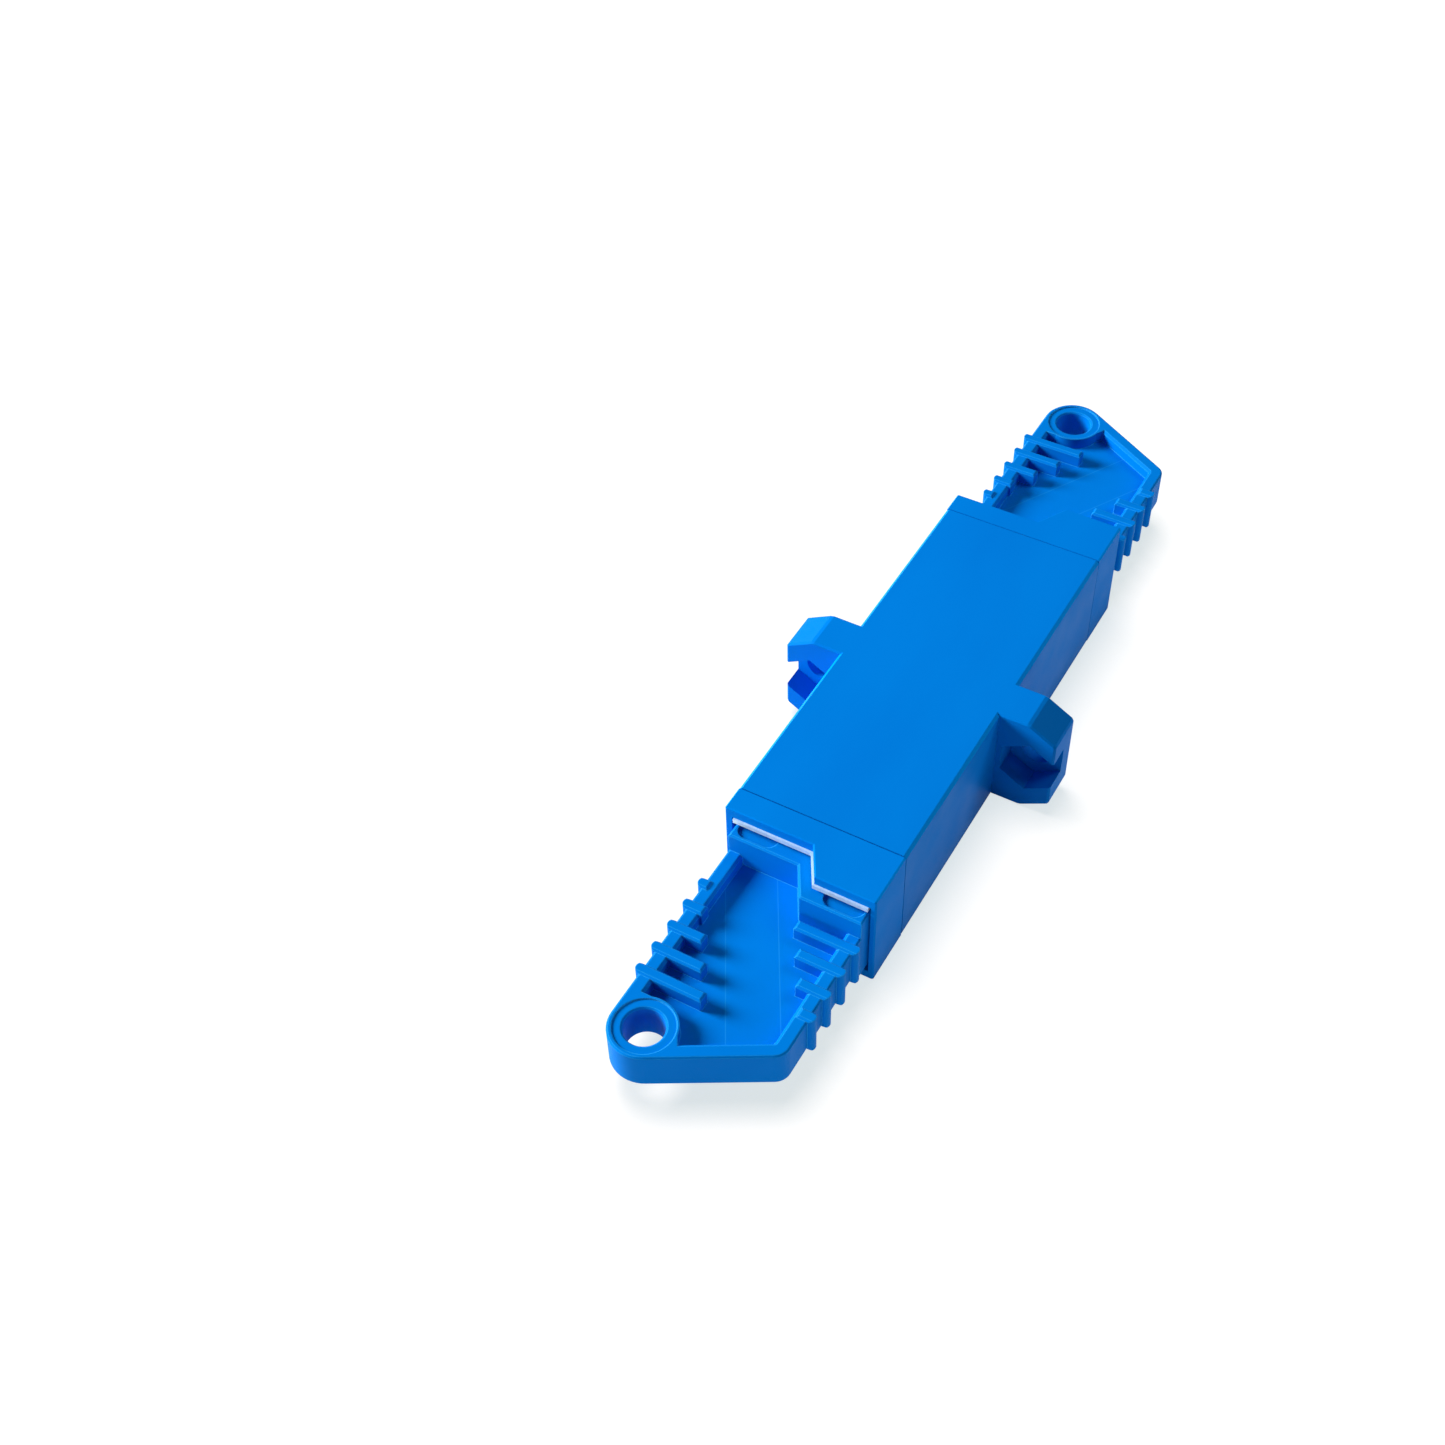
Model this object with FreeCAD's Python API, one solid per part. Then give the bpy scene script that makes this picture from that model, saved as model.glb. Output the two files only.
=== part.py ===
"""Latching fibre adapter: flanged housing, stepped mouth frames with shutters, a split alignment
sleeve in the middle and a dust plug in each mouth.

Millimetres. +X runs along the fibre axis and the flange's nut pockets face +X. +Y is the side of
each mouth's longer half, +Z is up, and the origin lies under the middle of the underside.
The pieces of end b, at +X, are modelled. Those of end a are their mirror images at -X.
"""
import FreeCAD
import Part
import math
import os

Vector = FreeCAD.Vector
AXIS_X = Vector(1, 0, 0)
AXIS_Y = Vector(0, 1, 0)
AXIS_Z = Vector(0, 0, 1)

# Housing and mouth frames, flush with each other on the outside
body_width = 13.0
body_height = 8.8
housing_length = 33.3
housing_wall = 0.6
housing_bevel = 0.22
seam_gap = 0.08
frame_bevel = 0.1
frame_top_wall = 0.8
frame_low_wall = 0.55
frame_high_wall = 0.4
frame_ledge = 0.65
spigot_length = 4.0
spigot_wall = 0.6
spigot_fit = 0.03
spigot_corner = 0.4

# Stepped mouth edge, measured from the seam
mouth_long = 4.45
mouth_short = 2.05
step_angle = 30.0
step_y = 1.14
latch_window_width = 0.6
latch_window_height = 4.2

# Flange
ear_reach = 4.5
ear_thickness = 3.4
ear_chamfer = 2.2
ear_slope = 30.0
ear_bevel = 0.15
hole_edge = 2.0
hole_diameter = 2.4
nut_flats = 4.1
nut_depth = 1.9

# Alignment sleeve and its holder
sleeve_bore = 2.5
sleeve_wall = 0.35
sleeve_length = 11.4
sleeve_slit = 0.5
sleeve_play = 0.05
holder_wall = 0.85
holder_lip = 0.65
holder_lip_bore = 2.7
holder_flange = 1.2
holder_side_gap = 1.3
holder_top_gap = 0.3
holder_fit = 0.05
bulkhead = 2.4

# Sheet-metal plate under the top wall of the mouth
plate_thickness = 0.35
plate_reach = 0.15
plate_side_gap = 0.15

# Shutter flap
shutter_thickness = 0.2
shutter_bead_radius = 0.28
shutter_pin_radius = 0.2
shutter_pin_play = 0.05
shutter_pin_end_gap = 0.1
shutter_inset = 0.9
shutter_drop = 0.35
shutter_side_gap = 0.2
shutter_tip_gap = 0.3
shutter_closed_angle = 75.0
shutter_tip_round = 0.5

# Dust plug: shoulder and tongue
plug_stand_off = 1.05
plug_back_gap = 0.1
plug_low_gap = 0.3
plug_high_gap = 0.12
plug_top_gap = 0.28
plug_bevel = 0.12
slot_width = 1.5
slot_length = 3.05
slot_depth = 0.2
slot_lip = 0.25
slot_side_gap = 0.3
tongue_tip_gap = 3.1
tongue_tip_height = 2.6
tongue_side_gap = 0.6
tongue_top_gap = 0.12
tongue_wall = 0.7
tongue_bevel = 0.3

# Dust plug: handle
handle_drop = 0.2
handle_thickness = 3.1
handle_bevel = 0.12
ring_reach = 14.0
ring_outer_radius = 2.5
ring_set_in = 0.18
ring_lip = 0.16
ring_recess = 0.1
boss_side = 2.2
ring_hole_diameter = 2.9
ring_hole_chamfer = 0.12
end_slope = 30.0
corner_radius = 1.2
pocket_corner = 0.3
rim_width = 1.1
rim_bevel = 0.2
pocket_depth = 1.0
rib_reach = 2.1
rib_pitch = 2.04
rib_width = 0.85
rib_proud = 0.15
rib_bevel = 0.15
rib_end_gap = 0.9
rib_shortest = 0.5
nose_reach = 0.42
channel_edge = 0.1
channel_span = 7.15

# Share of a width that rounds its end, just short of a half circle
round_end = 0.49

# Values worked out from the sizes above
middle_z = body_height / 2
seam_x = housing_length / 2
long_edge_x = seam_x + mouth_long
cavity_width = body_width - 2 * housing_wall
cavity_height = body_height - 2 * housing_wall
spigot_width = cavity_width - 2 * spigot_fit
spigot_height = cavity_height - 2 * spigot_fit
passage_width = spigot_width - 2 * spigot_wall
passage_height = spigot_height - 2 * spigot_wall
recess_x = seam_x + frame_ledge
recess_low_y = frame_low_wall - body_width / 2
recess_high_y = body_width / 2 - frame_high_wall
recess_top_z = body_height - frame_top_wall
ear_span = body_width + 2 * ear_reach
hole_pitch = ear_span - 2 * hole_edge
sleeve_radius = sleeve_bore / 2 + sleeve_wall
barrel_bore = sleeve_radius + sleeve_play
barrel_radius = barrel_bore + holder_wall
barrel_end = sleeve_length / 2 + sleeve_play + holder_lip
plate_z = recess_top_z - plate_thickness
shutter_x = seam_x - shutter_inset
shutter_z = middle_z + passage_height / 2 - shutter_drop
shutter_width = passage_width - 2 * shutter_side_gap
shutter_fall = shutter_drop + shutter_tip_gap
shutter_length = (passage_height - shutter_fall) / math.sin(math.radians(shutter_closed_angle))
plug_low_y = recess_low_y + plug_low_gap
plug_high_y = recess_high_y - plug_high_gap
plug_back_x = recess_x + plug_back_gap
shoulder_half = plate_z - plug_top_gap - middle_z
tongue_tip_x = barrel_end + tongue_tip_gap
tongue_half = shutter_z - shutter_bead_radius - tongue_top_gap - middle_z
handle_z = middle_z - handle_drop
handle_half = handle_thickness / 2
ring_x = long_edge_x + ring_reach
ring_y = plug_low_y + ring_outer_radius
boss_radius = ring_outer_radius - ring_set_in
first_rib_x = long_edge_x + rib_reach


def block(x_low, x_high, width, height, corner=0.0):
    """Bar along X, centred on the fibre axis, with its long edges bevelled."""
    start = Vector(x_low, -width / 2, middle_z - height / 2)
    solid = Part.makeBox(x_high - x_low, width, height, start)
    if corner > 0:
        return solid.makeChamfer(corner, edges_along(solid, AXIS_X))
    return solid


def box_between(low, high):
    """Box from its lowest to its highest corner."""
    size = [high[i] - low[i] for i in range(3)]
    return Part.makeBox(*size, Vector(*low))


def edges_along(solid, direction):
    """Straight edges of a solid that run along a direction."""
    found = []
    for edge in solid.Edges:
        if len(edge.Vertexes) == 2:
            run = edge.Vertexes[1].Point - edge.Vertexes[0].Point
            if run.cross(direction).Length < 1e-6:
                found.append(edge)
    return found


def level_edges(solid):
    """Edges of the top and bottom faces of an upright prism."""
    bounds = solid.BoundBox
    found = []
    for edge in solid.Edges:
        heights = [vertex.Point.z for vertex in edge.Vertexes]
        if max(heights) - min(heights) < 1e-6 and not bounds.ZMin < heights[0] < bounds.ZMax:
            found.append(edge)
    return found


def cylinder_x(radius, x_low, x_high, y=0.0):
    """Cylinder along X at the height of the fibre axis."""
    return Part.makeCylinder(radius, x_high - x_low, Vector(x_low, y, middle_z), AXIS_X)


def cylinder_y(radius, half_length, x, z):
    """Cylinder along Y, centred on the fibre axis plane."""
    return Part.makeCylinder(radius, 2 * half_length, Vector(x, -half_length, z), AXIS_Y)


def prism(corners, run):
    """Straight prism on a closed outline of corner points."""
    return Part.Face(Part.makePolygon(corners + corners[:1])).extrude(run)


def on_other_face(solid):
    """The same form on the handle's other face: mirrored in its level middle plane."""
    return solid.mirror(Vector(0, 0, handle_z), AXIS_Z)


def step_line(offset):
    """Two corners of the stepped mouth edge, moved out square to itself by an offset."""
    slope = math.radians(step_angle)
    x_middle = seam_x + (mouth_long + mouth_short) / 2
    corners = []
    for reach in (mouth_short, mouth_long):
        x = seam_x + reach + offset
        y = step_y + (x - x_middle) * math.tan(slope) - offset / math.cos(slope)
        corners.append((x, y))
    return corners


def stepped_prism(x_back, y_low, y_high, z_low, z_high, offset):
    """Upright slab whose front follows the stepped mouth edge at an offset."""
    (x_short, y_short), (x_long, y_long) = step_line(offset)
    outline = [
        (x_back, y_low),
        (x_short, y_low),
        (x_short, y_short),
        (x_long, y_long),
        (x_long, y_high),
        (x_back, y_high),
    ]
    return prism([Vector(x, y, z_low) for x, y in outline], AXIS_Z * (z_high - z_low))


def front_rim_edges(solid):
    """Edges round the faces that look out of the mouth, without those between two such faces."""
    front = []
    for face in solid.Faces:
        normal = face.normalAt(0, 0)
        if abs(normal.z) < 1e-6 and normal.x > 0.1:
            front.append(face)
    edges = [edge for face in front for edge in face.Edges]
    return [edge for edge in edges if sum(edge.isSame(other) for other in edges) == 1]


def make_flange():
    """Bar across the housing, its two ears sloped at their outer top and bottom, all edges bevelled."""
    y_out = ear_span / 2
    y_flat = y_out - ear_chamfer
    drop = ear_chamfer * math.tan(math.radians(ear_slope))
    high_side = [(y_flat, 0), (y_out, drop), (y_out, body_height - drop), (y_flat, body_height)]
    low_side = [(-y, z) for y, z in reversed(high_side)]
    corners = [Vector(-ear_thickness / 2, y, z) for y, z in high_side + low_side]
    flange = prism(corners, AXIS_X * ear_thickness)
    return flange.makeChamfer(ear_bevel, flange.Edges)


def make_ear_hole(y, side):
    """Screw hole with a hexagonal nut pocket that opens towards the ear's outer face."""
    face_x = ear_thickness / 2
    hexagon_radius = nut_flats / math.sqrt(3)
    corners = []
    for i in range(6):
        turn = math.radians(60 * i + 30)
        corners.append(Vector(face_x - nut_depth, y + hexagon_radius * math.cos(turn),
                              middle_z + hexagon_radius * math.sin(turn)))
    pocket = prism(corners, AXIS_X * ear_thickness)
    y_low, y_high = sorted((y, side * ear_span))
    slot = box_between((face_x - nut_depth, y_low, middle_z - hexagon_radius / 2),
                       (face_x + nut_depth, y_high, middle_z + hexagon_radius / 2))
    hole = cylinder_x(hole_diameter / 2, -ear_thickness, ear_thickness, y)
    return pocket.fuse([slot, hole])


def make_main_housing():
    """Rectangular tube with a cross wall for the sleeve holder and the two-ear flange."""
    shell = block(-seam_x, seam_x, body_width, body_height, housing_bevel).fuse(make_flange())
    for side in (-1, 1):
        low, high = sorted((side * bulkhead / 2, side * (seam_x + seam_gap)))
        shell = shell.cut(block(low, high, cavity_width, cavity_height, spigot_corner))
        shell = shell.cut(make_ear_hole(side * hole_pitch / 2, side))
    shell = shell.cut(cylinder_x(barrel_radius + holder_fit, -bulkhead, bulkhead))
    return shell.removeSplitter()


def make_end_frame():
    """Mouth frame: stepped open mouth, a ledge at the seam and a spigot inside the housing."""
    outer = block(seam_x + seam_gap, long_edge_x, body_width, body_height, frame_bevel)
    frame = outer.common(stepped_prism(0, -body_width, body_width, 0, body_height, 0))
    frame = frame.makeChamfer(frame_bevel, front_rim_edges(frame))
    frame = frame.cut(box_between((recess_x, recess_low_y, frame_top_wall),
                                  (2 * long_edge_x, recess_high_y, recess_top_z)))
    spigot = block(seam_x - spigot_length, recess_x, spigot_width, spigot_height, spigot_corner)
    frame = frame.fuse(spigot)
    frame = frame.cut(block(0, long_edge_x, passage_width, passage_height))
    window = box_between((seam_x, -body_width, middle_z - latch_window_height / 2),
                         (seam_x + latch_window_width, 0, middle_z + latch_window_height / 2))
    pin_hole = cylinder_y(shutter_pin_radius + shutter_pin_play, body_width, shutter_x, shutter_z)
    return frame.cut(window).cut(pin_hole).removeSplitter()


def make_mouth_plate():
    """Flat spring plate against the top wall, its front edge following the mouth's step."""
    return stepped_prism(recess_x, recess_low_y + plate_side_gap, recess_high_y - plate_side_gap,
                         plate_z, recess_top_z, plate_reach)


def make_shutter():
    """Flap lying open above the plug, hung on the two ends of its rolled edge."""
    leaf = box_between(
        (shutter_x - shutter_length, -shutter_width / 2, shutter_z - shutter_thickness / 2),
        (shutter_x, shutter_width / 2, shutter_z + shutter_thickness / 2))
    upright = edges_along(leaf, AXIS_Z)
    tip = [edge for edge in upright if edge.CenterOfMass.x < leaf.CenterOfMass.x]
    leaf = leaf.makeFillet(shutter_tip_round, tip)
    bead = cylinder_y(shutter_bead_radius, shutter_width / 2, shutter_x, shutter_z)
    pin_reach = spigot_width / 2 - shutter_pin_end_gap
    pins = cylinder_y(shutter_pin_radius, pin_reach, shutter_x, shutter_z)
    return leaf.fuse([bead, pins])


def make_sleeve_holder():
    """Half of the sleeve holder: a barrel with an inner end lip and a flange on the cross wall."""
    seat = bulkhead / 2
    flange_width = cavity_width - 2 * holder_side_gap
    flange_height = cavity_height - 2 * holder_top_gap
    flange = block(seat, seat + holder_flange, flange_width, flange_height, spigot_corner)
    holder = cylinder_x(barrel_radius, 0, barrel_end).fuse(flange)
    holder = holder.cut(cylinder_x(barrel_bore, 0, barrel_end - holder_lip))
    return holder.cut(cylinder_x(holder_lip_bore / 2, 0, 2 * barrel_end))


def make_alignment_sleeve():
    """Ceramic tube with one slit along its whole length."""
    half = sleeve_length / 2
    sleeve = cylinder_x(sleeve_radius, -half, half)
    sleeve = sleeve.cut(cylinder_x(sleeve_bore / 2, -half, half))
    slit = box_between((-half, -sleeve_slit / 2, middle_z),
                       (half, sleeve_slit / 2, middle_z + sleeve_bore))
    return sleeve.cut(slit)


def handle_corner(inset):
    """Centre and radius of the handle's rounded corner, for an outline moved in by an inset."""
    slope = math.radians(end_slope)
    radius = max(corner_radius - inset, pocket_corner)
    y = plug_high_y - inset - radius
    end_reach = ring_x * math.cos(slope) + ring_y * math.sin(slope) + ring_outer_radius - inset
    x = (end_reach - radius - y * math.sin(slope)) / math.cos(slope)
    return x, y, radius


def arc_points(x, y, radius, start, end):
    """Start, middle and end of an arc, its angles in radians."""
    angles = (start, (start + end) / 2, end)
    return [Vector(x + radius * math.cos(a), y + radius * math.sin(a), 0) for a in angles]


def handle_outline(inset):
    """Closed outline of the handle, seen from above, moved inwards by an inset."""
    slope = math.radians(end_slope)
    square = math.pi / 2
    x_root = seam_x + mouth_short
    root_low = Vector(x_root, plug_low_y + inset, 0)
    root_high = Vector(x_root, plug_high_y - inset, 0)
    ring = arc_points(ring_x, ring_y, ring_outer_radius - inset, -square, slope)
    corner = arc_points(*handle_corner(inset), slope, square)
    edges = [
        Part.makeLine(root_low, ring[0]),
        Part.Arc(*ring).toShape(),
        Part.makeLine(ring[2], corner[0]),
        Part.Arc(*corner).toShape(),
        Part.makeLine(corner[2], root_high),
        Part.makeLine(root_high, root_low),
    ]
    return Part.Face(Part.Wire(edges))


def extrude_between(face, z_low, z_high):
    """Face in the XY plane, raised to a height and made solid."""
    solid = face.extrude(AXIS_Z * (z_high - z_low))
    solid.translate(Vector(0, 0, z_low))
    return solid


def ring_cylinder(radius, z_low, z_high):
    """Upright cylinder on the ring's axis."""
    return Part.makeCylinder(radius, z_high - z_low, Vector(ring_x, ring_y, z_low), AXIS_Z)


def make_boss(z_low, z_high):
    """Round boss about the ring's hole, with a straight side out to the rim and one to the sloped end."""
    slope = math.radians(end_slope)
    end_out = Vector(math.cos(slope), math.sin(slope), 0)
    end_along = Vector(-math.sin(slope), math.cos(slope), 0)
    centre = Vector(ring_x, ring_y, z_low)
    boss = ring_cylinder(boss_radius, z_low, z_high)
    for out, along in ((-AXIS_Y, -AXIS_X), (end_out, end_along)):
        rim_side = centre + out * boss_radius
        corners = [centre, rim_side, rim_side + along * boss_side, centre + along * boss_side]
        boss = boss.fuse(prism(corners, AXIS_Z * (z_high - z_low)))
    return boss


def make_handle_plate():
    """Flat handle with a pocket in each face, leaving a bevelled rim and a recessed round end."""
    z_low = handle_z - handle_half
    z_high = handle_z + handle_half
    plate = extrude_between(handle_outline(0), z_low, z_high)
    plate = plate.makeChamfer(handle_bevel, level_edges(plate))
    pocket = extrude_between(handle_outline(rim_width), z_high - pocket_depth, z_high)
    flare = extrude_between(handle_outline(rim_width - rim_bevel), z_high - rim_bevel, z_high + rim_bevel)
    lower = [edge for edge in level_edges(flare) if edge.BoundBox.ZMax < z_high]
    flare = flare.makeChamfer(rim_bevel, lower)
    hollow = pocket.fuse(flare).cut(make_boss(z_low, z_high + rim_bevel))
    recess = ring_cylinder(boss_radius - ring_lip, z_high - ring_recess, z_high + ring_recess)
    return plate.cut([hollow, recess, on_other_face(hollow), on_other_face(recess)])


def make_rib(x, y_nose, y_inner):
    """Bar through the rim, bevelled where it stands proud of both faces, with a round nose outside."""
    y_low, y_high = sorted((y_nose, y_inner))
    half = handle_half + rib_proud
    bar = box_between((x - rib_width / 2, y_low, handle_z - half),
                      (x + rib_width / 2, y_high, handle_z + half))
    nose = [edge for edge in edges_along(bar, AXIS_Z) if abs(edge.CenterOfMass.y - y_nose) < 1e-6]
    crest = [edge for edge in level_edges(bar) if abs(edge.CenterOfMass.y - y_nose) > 1e-6]
    rounded = bar.makeFillet(round_end * rib_width, nose)
    return rounded.common(bar.makeChamfer(rib_bevel, crest))


def make_ribs():
    """Grip bars along both rims, as far in as two slanted lines beside a clear channel."""
    ribs = []
    low_end = ring_x - ring_outer_radius
    high_end = handle_corner(0)[0]
    low_line = plug_low_y + channel_edge
    rows = ((-1, plug_low_y, low_end, low_line), (1, plug_high_y, high_end, low_line + channel_span))
    for side, y_wall, x_end, line in rows:
        count = 1 + math.floor((x_end - rib_end_gap - first_rib_x) / rib_pitch)
        for i in range(count):
            slant = line + i * rib_pitch * math.tan(math.radians(end_slope))
            length = max(side * (y_wall - slant), rib_shortest)
            ribs.append(make_rib(first_rib_x + i * rib_pitch, y_wall + side * nose_reach,
                                 y_wall - side * length))
    return ribs


def make_slots():
    """Shallow round-ended slots in the top of the shoulder, behind its front edge."""
    (x_short, _), (x_long, _) = step_line(plug_stand_off)
    top = middle_z + shoulder_half
    low_y = plug_low_y + slot_side_gap
    high_y = plug_high_y - slot_side_gap - slot_length
    slots = []
    for x_front, y in ((x_short, low_y), (x_long, high_y)):
        x = x_front - slot_lip
        slot = box_between((x - slot_width, y, top - slot_depth), (x, y + slot_length, top + slot_depth))
        slots.append(slot.makeFillet(round_end * slot_width, edges_along(slot, AXIS_Z)))
    return slots


def make_tongue():
    """Hollow tapered tongue that fills the passage and holds the shutter up."""
    half_width = passage_width / 2 - tongue_side_gap
    x_root = plug_back_x + plug_bevel
    tip_half = tongue_tip_height / 2
    profile = [
        (tongue_tip_x, middle_z - tip_half),
        (x_root, middle_z - tongue_half),
        (x_root, middle_z + tongue_half),
        (tongue_tip_x, middle_z + tip_half),
    ]
    tongue = prism([Vector(x, -half_width, z) for x, z in profile], AXIS_Y * (2 * half_width))
    long_edges = [edge for edge in tongue.Edges if tongue_tip_x < edge.CenterOfMass.x < x_root]
    tongue = tongue.makeChamfer(tongue_bevel, long_edges)
    core_width = 2 * (half_width - tongue_wall)
    core_height = tongue_tip_height - 2 * tongue_wall
    return tongue.cut(block(tongue_tip_x, plug_back_x - tongue_wall, core_width, core_height))


def make_dust_plug():
    """One moulding: stepped shoulder with slots, hollow tongue, ribbed handle and ring."""
    shoulder = stepped_prism(plug_back_x, plug_low_y, plug_high_y,
                             middle_z - shoulder_half, middle_z + shoulder_half, plug_stand_off)
    shoulder = shoulder.makeChamfer(plug_bevel, level_edges(shoulder)).cut(make_slots())
    plug = make_handle_plate().fuse(make_ribs())
    plug = plug.fuse([shoulder, make_tongue()])
    hole_radius = ring_hole_diameter / 2
    ring_half = handle_half - ring_recess
    hole = ring_cylinder(hole_radius, handle_z - handle_half, handle_z + handle_half)
    flare = Part.makeCone(hole_radius, hole_radius + 2 * ring_hole_chamfer, 2 * ring_hole_chamfer,
                          Vector(ring_x, ring_y, handle_z + ring_half - ring_hole_chamfer), AXIS_Z)
    return plug.cut([hole, flare, on_other_face(flare)]).removeSplitter()


def mirrored_x(solid):
    """The matching piece at the other end."""
    return solid.mirror(Vector(0, 0, 0), AXIS_X)


def main():
    os.makedirs("parts", exist_ok=True)
    nodes = {
        "main_housing": make_main_housing(),
        "alignment_sleeve": make_alignment_sleeve(),
    }
    makers = {
        "end_frame": make_end_frame,
        "mouth_plate": make_mouth_plate,
        "shutter": make_shutter,
        "sleeve_holder": make_sleeve_holder,
        "dust_plug": make_dust_plug,
    }
    for name, make in makers.items():
        piece = make()
        nodes[name + "_a"] = mirrored_x(piece)
        nodes[name + "_b"] = piece
    for name, solid in nodes.items():
        solid.exportStep("parts/" + name + ".step")


main()
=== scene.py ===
"""Looks of the latching fibre adapter: finishes, floor, studio light and camera."""
import math

import bpy
from mathutils import Matrix, Vector

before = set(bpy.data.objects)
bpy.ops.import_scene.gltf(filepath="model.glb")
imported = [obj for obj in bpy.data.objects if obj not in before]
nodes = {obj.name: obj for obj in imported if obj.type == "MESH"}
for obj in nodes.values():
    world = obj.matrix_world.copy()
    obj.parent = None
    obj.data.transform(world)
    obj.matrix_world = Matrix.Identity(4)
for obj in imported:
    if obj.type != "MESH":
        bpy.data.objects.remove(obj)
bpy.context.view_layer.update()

MM = 0.001

# Camera, in the part's frame
CAMERA_PLACE = Vector((91.82, 39.13, 111.27)) * MM
CAMERA_TARGET = Vector((5.07, -14.87, 0.0)) * MM
CAMERA_ROLL = -0.042
CAMERA_NEAREST = 5.0 * MM
CAMERA_FARTHEST = 20.0
IMAGE_SIZE = 1445.0
FOCAL_PIXELS = 1932.55
SENSOR = 36.0

# Colours, linear
BLUE = (0.0, 0.205, 0.72, 1.0)
BLUE_DEEP = (0.0, 0.19, 0.69, 1.0)
# The next colour is a painted highlight on the plugs' edges and mould lines, and the one after it a
# painted highlight on the bevels along the body
BLUE_EDGE_HIGHLIGHT = (0.04, 0.5, 0.98, 1.0)
BLUE_BEVEL_HIGHLIGHT = (0.0, 0.32, 0.98, 1.0)
BLUE_GLOSS = (0.13, 0.75, 1.0, 1.0)
STEEL = (0.7, 0.87, 0.94, 1.0)
STEEL_DARK = (0.64, 0.81, 0.9, 1.0)
CERAMIC = (0.84, 0.82, 0.78, 1.0)
CERAMIC_WARM = (0.78, 0.75, 0.70, 1.0)
NATURAL = (0.62, 0.63, 0.62, 1.0)
NATURAL_DARK = (0.52, 0.53, 0.52, 1.0)
WHITE = (1.0, 1.0, 1.0, 1.0)

# Soft boxes: place, size and power. Three light the part and one the table
KEY = (Vector((80.0, -302.0, 154.0)) * MM, 130.0 * MM, 2.25)
RIGHT = (Vector((-150.0, 170.0, 230.0)) * MM, 120.0 * MM, 0.26)
NEAR = (Vector((300.0, 90.0, 45.0)) * MM, 90.0 * MM, 0.2)
TABLE = (Vector((-225.0, -735.0, 2700.0)) * MM, 1590.0 * MM, 97.0)
WORLD_LIGHT = 0.08

# Floor: its colour to light and to the eye, and the glow that the eye sees added
FLOOR = (0.63, 0.64, 0.65, 1.0)
FLOOR_SHADED = (0.36, 0.3, 0.28, 1.0)
FLOOR_GLOW = 0.79
GLOW_COLOUR = (0.873, 0.943, 0.955, 1.0)
FLOOR_ROUGHNESS = 0.9
FLOOR_SIZE = 0.8
FLOOR_LEVEL = -0.02 * MM

# Middle stretch of a noise, for numbers and for colours
NOISE_RANGE = (0.3, 0.7)
TINT_RANGE = (0.35, 0.65)

# Finish of the blue mouldings: noises in features per metre, roughness below and above its mean
FLOW_SCALE = 140.0
FLOW_STRETCH = (0.4, 1.0, 1.0)
PATCH_SCALE = 420.0
MOULDED_SPREAD = (-0.05, 0.06)
GRAIN_DEPTH = 0.004 * MM
EDGE_ROUND = 0.12 * MM
SEAM_ROUND = 0.05 * MM
EDGE_SAMPLES = 4
# Turn of the shading round an edge over which the plugs' painted edge highlight fades in
EDGE_TURN = (0.98, 0.75)

# Painted highlight on the bevels along the body: they face half up and half sideways, and the ears lie
# further out
BEVEL_FACING = 0.47
BODY_HALF_WIDTH = 6.6 * MM

# Mould lines on the floors of the plugs' pockets, slanting along the channel between the grip bars,
# drawn as thin painted highlights
MOULD_SLOPE = math.tan(math.radians(30.0))
MOULD_LINES = (-17.34 * MM, -13.17 * MM)
MOULD_WIDTH = 0.06 * MM
MOULD_HIGHLIGHT = 0.25
HANDLE_LEVEL = 4.2 * MM
POCKET_REACH = 0.6 * MM
LEVEL_FACING = 0.9

# Finish of the sheet metal
ROLL_SCALE = 3000.0
ROLL_STRETCH = (0.05, 1.0, 1.0)
ROLL_DEPTH = 0.001 * MM
STEEL_ROUGHNESS = (0.4, 0.52)
STEEL_METALLIC = 0.4

# Finish of the pale inner pieces
MOTTLE_SCALE = 900.0
MOTTLE_DEPTH = 0.003 * MM
INNER_SPREAD = (-0.04, 0.06)


def new_material(name):
    """Empty node material with a Principled shader on its output."""
    material = bpy.data.materials.new(name)
    material.use_nodes = True
    tree = material.node_tree
    tree.nodes.clear()
    output = tree.nodes.new("ShaderNodeOutputMaterial")
    shader = tree.nodes.new("ShaderNodeBsdfPrincipled")
    tree.links.new(shader.outputs["BSDF"], output.inputs["Surface"])
    return material, tree, shader


def feed(tree, socket, value):
    """Sets a socket to a number or colour, or links it to another node's output."""
    if isinstance(value, (float, tuple)):
        socket.default_value = value
    else:
        tree.links.new(value, socket)


def calculate(tree, operation, *values):
    """One step of arithmetic on sockets or numbers."""
    node = tree.nodes.new("ShaderNodeMath")
    node.operation = operation
    for socket, value in zip(node.inputs, values):
        feed(tree, socket, value)
    return node.outputs["Value"]


def remap(tree, value, source, target):
    """Maps a number from one range onto another and holds it at the ends."""
    node = tree.nodes.new("ShaderNodeMapRange")
    for socket, limit in zip(("From Min", "From Max", "To Min", "To Max"), source + target):
        node.inputs[socket].default_value = limit
    tree.links.new(value, node.inputs["Value"])
    return node.outputs["Result"]


def mix_colours(tree, factor, first, second):
    """Mixes two colours by a factor from 0 to 1."""
    node = tree.nodes.new("ShaderNodeMix")
    node.data_type = "RGBA"
    tree.links.new(factor, node.inputs["Factor"])
    feed(tree, node.inputs["A"], first)
    feed(tree, node.inputs["B"], second)
    return node.outputs["Result"]


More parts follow.
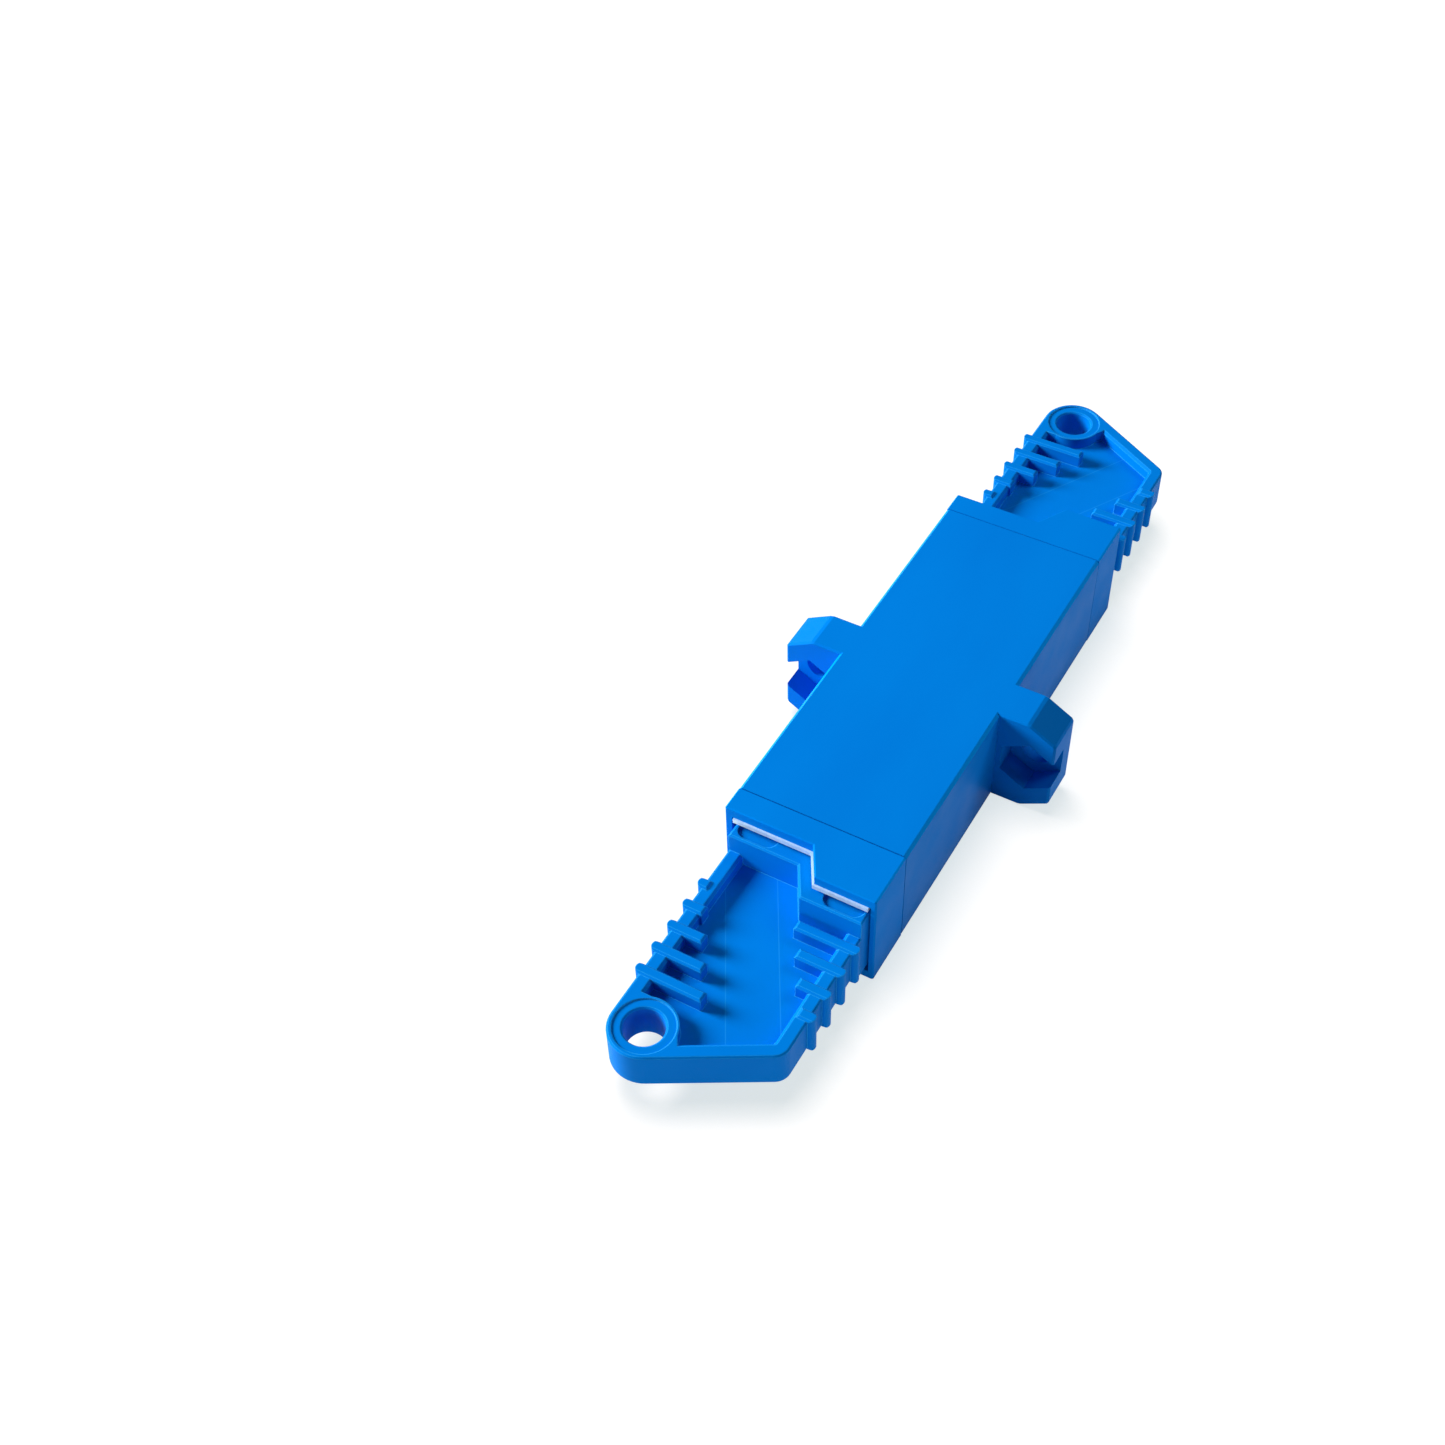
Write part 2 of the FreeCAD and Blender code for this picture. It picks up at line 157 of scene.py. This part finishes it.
def noise(tree, scale, detail, stretch=(1.0, 1.0, 1.0)):
    """Noise over the part's own coordinates, with its scale in features per metre."""
    place = tree.nodes.new("ShaderNodeTexCoord")
    mapping = tree.nodes.new("ShaderNodeMapping")
    mapping.inputs["Scale"].default_value = stretch
    texture = tree.nodes.new("ShaderNodeTexNoise")
    texture.inputs["Scale"].default_value = scale
    texture.inputs["Detail"].default_value = detail
    tree.links.new(place.outputs["Object"], mapping.inputs["Vector"])
    tree.links.new(mapping.outputs["Vector"], texture.inputs["Vector"])
    return texture.outputs["Fac"]


def uneven(tree, source, mean, spread):
    """Number that follows a noise below and above its mean."""
    low, high = spread
    return remap(tree, source, NOISE_RANGE, (mean + low, mean + high))


def tint(tree, source, first, second):
    """Blends two colours by a noise."""
    ramp = tree.nodes.new("ShaderNodeValToRGB")
    for stop, position, colour in zip(ramp.color_ramp.elements, TINT_RANGE, (first, second)):
        stop.position = position
        stop.color = colour
    tree.links.new(source, ramp.inputs["Fac"])
    return ramp.outputs["Color"]


def bump(tree, source, shader, depth):
    """Raises a noise off the surface, its depth in metres."""
    node = tree.nodes.new("ShaderNodeBump")
    node.inputs["Distance"].default_value = depth
    node.inputs["Strength"].default_value = 1.0
    tree.links.new(source, node.inputs["Height"])
    tree.links.new(node.outputs["Normal"], shader.inputs["Normal"])
    return node


def soft_edges(tree, raised, radius):
    """Rounds the edges under a bump in the shading, and gives the rounded direction."""
    bevel = tree.nodes.new("ShaderNodeBevel")
    bevel.samples = EDGE_SAMPLES
    bevel.inputs["Radius"].default_value = radius
    tree.links.new(bevel.outputs["Normal"], raised.inputs["Normal"])
    return bevel.outputs["Normal"]


def edge_highlight(tree, rounded):
    """Painted highlight on edges: is 0 on flat surface and rises to 1 where the rounded direction turns
    away round an edge.
    """
    flat = tree.nodes.new("ShaderNodeNewGeometry")
    along = tree.nodes.new("ShaderNodeVectorMath")
    along.operation = "DOT_PRODUCT"
    tree.links.new(rounded, along.inputs[0])
    tree.links.new(flat.outputs["Normal"], along.inputs[1])
    return remap(tree, along.outputs["Value"], EDGE_TURN, (0.0, 1.0))


def split_axes(tree, vector):
    """Parts of a vector along X, Y and Z."""
    axes = tree.nodes.new("ShaderNodeSeparateXYZ")
    tree.links.new(vector, axes.inputs["Vector"])
    return axes.outputs


def place_on_part(tree):
    """Place on the part along X, Y and Z."""
    return split_axes(tree, tree.nodes.new("ShaderNodeTexCoord").outputs["Object"])


def facing(tree):
    """Parts of the surface's direction along X, Y and Z."""
    return split_axes(tree, tree.nodes.new("ShaderNodeNewGeometry").outputs["True Normal"])


def bevel_highlight_mask(tree):
    """Painted highlight mask: is 1 on the bevels along the body and 0 elsewhere."""
    way = facing(tree)
    both = calculate(tree, "ABSOLUTE", calculate(tree, "MULTIPLY", way["Y"], way["Z"]))
    slanted = calculate(tree, "GREATER_THAN", both, BEVEL_FACING)
    off_middle = calculate(tree, "ABSOLUTE", place_on_part(tree)["Y"])
    on_body = calculate(tree, "LESS_THAN", off_middle, BODY_HALF_WIDTH)
    return calculate(tree, "MULTIPLY", slanted, on_body)


def mould_line_highlights(tree):
    """Painted highlight on two thin mould lines of each pocket's floor: up to its tone on the lines, and
    0 elsewhere.
    """
    place = place_on_part(tree)
    reach = calculate(tree, "ABSOLUTE", place["X"])
    across = calculate(tree, "SUBTRACT", place["Y"], calculate(tree, "MULTIPLY", reach, MOULD_SLOPE))
    marks = []
    for line in MOULD_LINES:
        off_line = calculate(tree, "ABSOLUTE", calculate(tree, "SUBTRACT", across, line))
        marks.append(remap(tree, off_line, (MOULD_WIDTH, 0.0), (0.0, MOULD_HIGHLIGHT)))
    off_level = calculate(tree, "ABSOLUTE", calculate(tree, "SUBTRACT", place["Z"], HANDLE_LEVEL))
    in_pocket = calculate(tree, "LESS_THAN", off_level, POCKET_REACH)
    upright = calculate(tree, "ABSOLUTE", facing(tree)["Z"])
    level = calculate(tree, "GREATER_THAN", upright, LEVEL_FACING)
    on_floor = calculate(tree, "MULTIPLY", in_pocket, level)
    return calculate(tree, "MULTIPLY", calculate(tree, "MAXIMUM", *marks), on_floor)


def moulded_plastic(name, roughness, gloss, grain, is_plug):
    """Satin blue moulding: faint flow tone, uneven gloss, fine spark-eroded grain, and painted
    highlights on the plugs' edges and mould lines and on the body's bevels.
    """
    material, tree, shader = new_material(name)
    flow = noise(tree, FLOW_SCALE, detail=3.0, stretch=FLOW_STRETCH)
    patch = noise(tree, PATCH_SCALE, detail=4.0)
    raised = bump(tree, noise(tree, grain, detail=2.0), shader, GRAIN_DEPTH)
    rounded = soft_edges(tree, raised, EDGE_ROUND if is_plug else SEAM_ROUND)
    # The mask and colour below are painted highlights: on the plugs' edges and mould lines, or on the
    # bevels along the body
    if is_plug:
        pale = calculate(tree, "MAXIMUM", edge_highlight(tree, rounded), mould_line_highlights(tree))
        highlight_colour = BLUE_EDGE_HIGHLIGHT
    else:
        pale = bevel_highlight_mask(tree)
        highlight_colour = BLUE_BEVEL_HIGHLIGHT
    colour = mix_colours(tree, pale, tint(tree, flow, BLUE, BLUE_DEEP), highlight_colour)
    feed(tree, shader.inputs["Base Color"], colour)
    feed(tree, shader.inputs["Roughness"], uneven(tree, patch, roughness, MOULDED_SPREAD))
    shader.inputs["Specular IOR Level"].default_value = gloss
    shader.inputs["Specular Tint"].default_value = BLUE_GLOSS
    return material


def rolled_steel(name):
    """Bright sheet with fine rolling lines along the fibre axis."""
    material, tree, shader = new_material(name)
    lines = noise(tree, ROLL_SCALE, detail=3.0, stretch=ROLL_STRETCH)
    feed(tree, shader.inputs["Base Color"], tint(tree, lines, STEEL_DARK, STEEL))
    feed(tree, shader.inputs["Roughness"], remap(tree, lines, NOISE_RANGE, STEEL_ROUGHNESS))
    bump(tree, lines, shader, ROLL_DEPTH)
    shader.inputs["Metallic"].default_value = STEEL_METALLIC
    return material


def inner_moulding(name, first, second, roughness):
    """Pale inner piece: a slight mottle in tone and gloss."""
    material, tree, shader = new_material(name)
    mottle = noise(tree, MOTTLE_SCALE, detail=3.0)
    feed(tree, shader.inputs["Base Color"], tint(tree, mottle, first, second))
    feed(tree, shader.inputs["Roughness"], uneven(tree, mottle, roughness, INNER_SPREAD))
    bump(tree, mottle, shader, MOTTLE_DEPTH)
    return material


def paint(prefix, material):
    """Gives a material to every node whose name starts with a prefix."""
    for name, node in nodes.items():
        if name.startswith(prefix):
            node.data.materials.clear()
            node.data.materials.append(material)


def seen_or_mirrored(tree):
    """Is 1 for rays from the eye, straight or by way of a gloss or a clear piece, and 0 for light."""
    path = tree.nodes.new("ShaderNodeLightPath").outputs
    straight = calculate(tree, "MAXIMUM", path["Is Camera Ray"], path["Is Glossy Ray"])
    return calculate(tree, "MAXIMUM", straight, path["Is Transmission Ray"])


def make_floor():
    """Pale table that the camera sees as white with a light shadow of the part."""
    half = FLOOR_SIZE / 2
    corners = [(x * half, y * half, FLOOR_LEVEL) for x, y in ((-1, -1), (1, -1), (1, 1), (-1, 1))]
    mesh = bpy.data.meshes.new("floor")
    mesh.from_pydata(corners, [], [(0, 1, 2, 3)])
    floor = bpy.data.objects.new("floor", mesh)
    bpy.context.collection.objects.link(floor)
    material, tree, shader = new_material("pale_table")
    seen = seen_or_mirrored(tree)
    feed(tree, shader.inputs["Base Color"], mix_colours(tree, seen, FLOOR, FLOOR_SHADED))
    feed(tree, shader.inputs["Emission Strength"], calculate(tree, "MULTIPLY", seen, FLOOR_GLOW))
    shader.inputs["Emission Color"].default_value = GLOW_COLOUR
    shader.inputs["Roughness"].default_value = FLOOR_ROUGHNESS
    shader.inputs["Specular IOR Level"].default_value = 0.0
    mesh.materials.append(material)
    return floor


def make_world():
    """Even pale surround: white to the eye, dimmer as light."""
    world = bpy.data.worlds.new("studio")
    bpy.context.scene.world = world
    world.use_nodes = True
    tree = world.node_tree
    background = tree.nodes["Background"]
    background.inputs["Color"].default_value = WHITE
    strength = remap(tree, seen_or_mirrored(tree), (0.0, 1.0), (WORLD_LIGHT, 1.0))
    feed(tree, background.inputs["Strength"], strength)


def make_lamp(name, soft_box, listed, state):
    """Square soft box that faces the part's origin and lights only, or all but, the listed objects."""
    place, size, power = soft_box
    light = bpy.data.lights.new(name, "AREA")
    light.size = size
    light.energy = power
    lamp = bpy.data.objects.new(name, light)
    lamp.location = place
    lamp.rotation_mode = "QUATERNION"
    lamp.rotation_quaternion = (-place).to_track_quat("-Z", "Y")
    bpy.context.collection.objects.link(lamp)
    receivers = bpy.data.collections.new(name + "_receivers")
    for target in listed:
        receivers.objects.link(target)
    for entry in receivers.collection_objects:
        entry.light_linking.link_state = state
    lamp.light_linking.receiver_collection = receivers


def make_camera():
    """Camera at the photograph's place, turned a little about its own axis."""
    data = bpy.data.cameras.new("camera")
    data.sensor_width = SENSOR
    data.lens = FOCAL_PIXELS / IMAGE_SIZE * SENSOR
    data.clip_start = CAMERA_NEAREST
    data.clip_end = CAMERA_FARTHEST
    camera = bpy.data.objects.new("camera", data)
    bpy.context.collection.objects.link(camera)
    forward = (CAMERA_TARGET - CAMERA_PLACE).normalized()
    level_right = forward.cross(Vector((0, 0, 1))).normalized()
    level_up = level_right.cross(forward)
    right = math.cos(CAMERA_ROLL) * level_right + math.sin(CAMERA_ROLL) * level_up
    up = right.cross(forward)
    turn = Matrix((right, up, -forward)).transposed().to_4x4()
    camera.matrix_world = Matrix.Translation(CAMERA_PLACE) @ turn
    bpy.context.scene.camera = camera


housing_blue = moulded_plastic("housing_blue", roughness=0.48, gloss=0.026, grain=16000.0, is_plug=False)
frame_blue = moulded_plastic("frame_blue", roughness=0.46, gloss=0.012, grain=16000.0, is_plug=False)
plug_blue = moulded_plastic("plug_blue", roughness=0.44, gloss=0.02, grain=12000.0, is_plug=True)
paint("main_housing", housing_blue)
paint("end_frame", frame_blue)
paint("dust_plug", plug_blue)
paint("mouth_plate", rolled_steel("plate_steel"))
paint("shutter", rolled_steel("shutter_steel"))
paint("sleeve_holder", inner_moulding("holder_natural", NATURAL, NATURAL_DARK, roughness=0.45))
paint("alignment_sleeve", inner_moulding("sleeve_ceramic", CERAMIC, CERAMIC_WARM, roughness=0.18))

floor = make_floor()
make_world()
make_lamp("key", KEY, [floor], "EXCLUDE")
make_lamp("right", RIGHT, [floor], "EXCLUDE")
make_lamp("near", NEAR, [floor, nodes["main_housing"]], "EXCLUDE")
make_lamp("table_light", TABLE, [floor], "INCLUDE")
make_camera()
bpy.context.scene.view_settings.view_transform = "Standard"
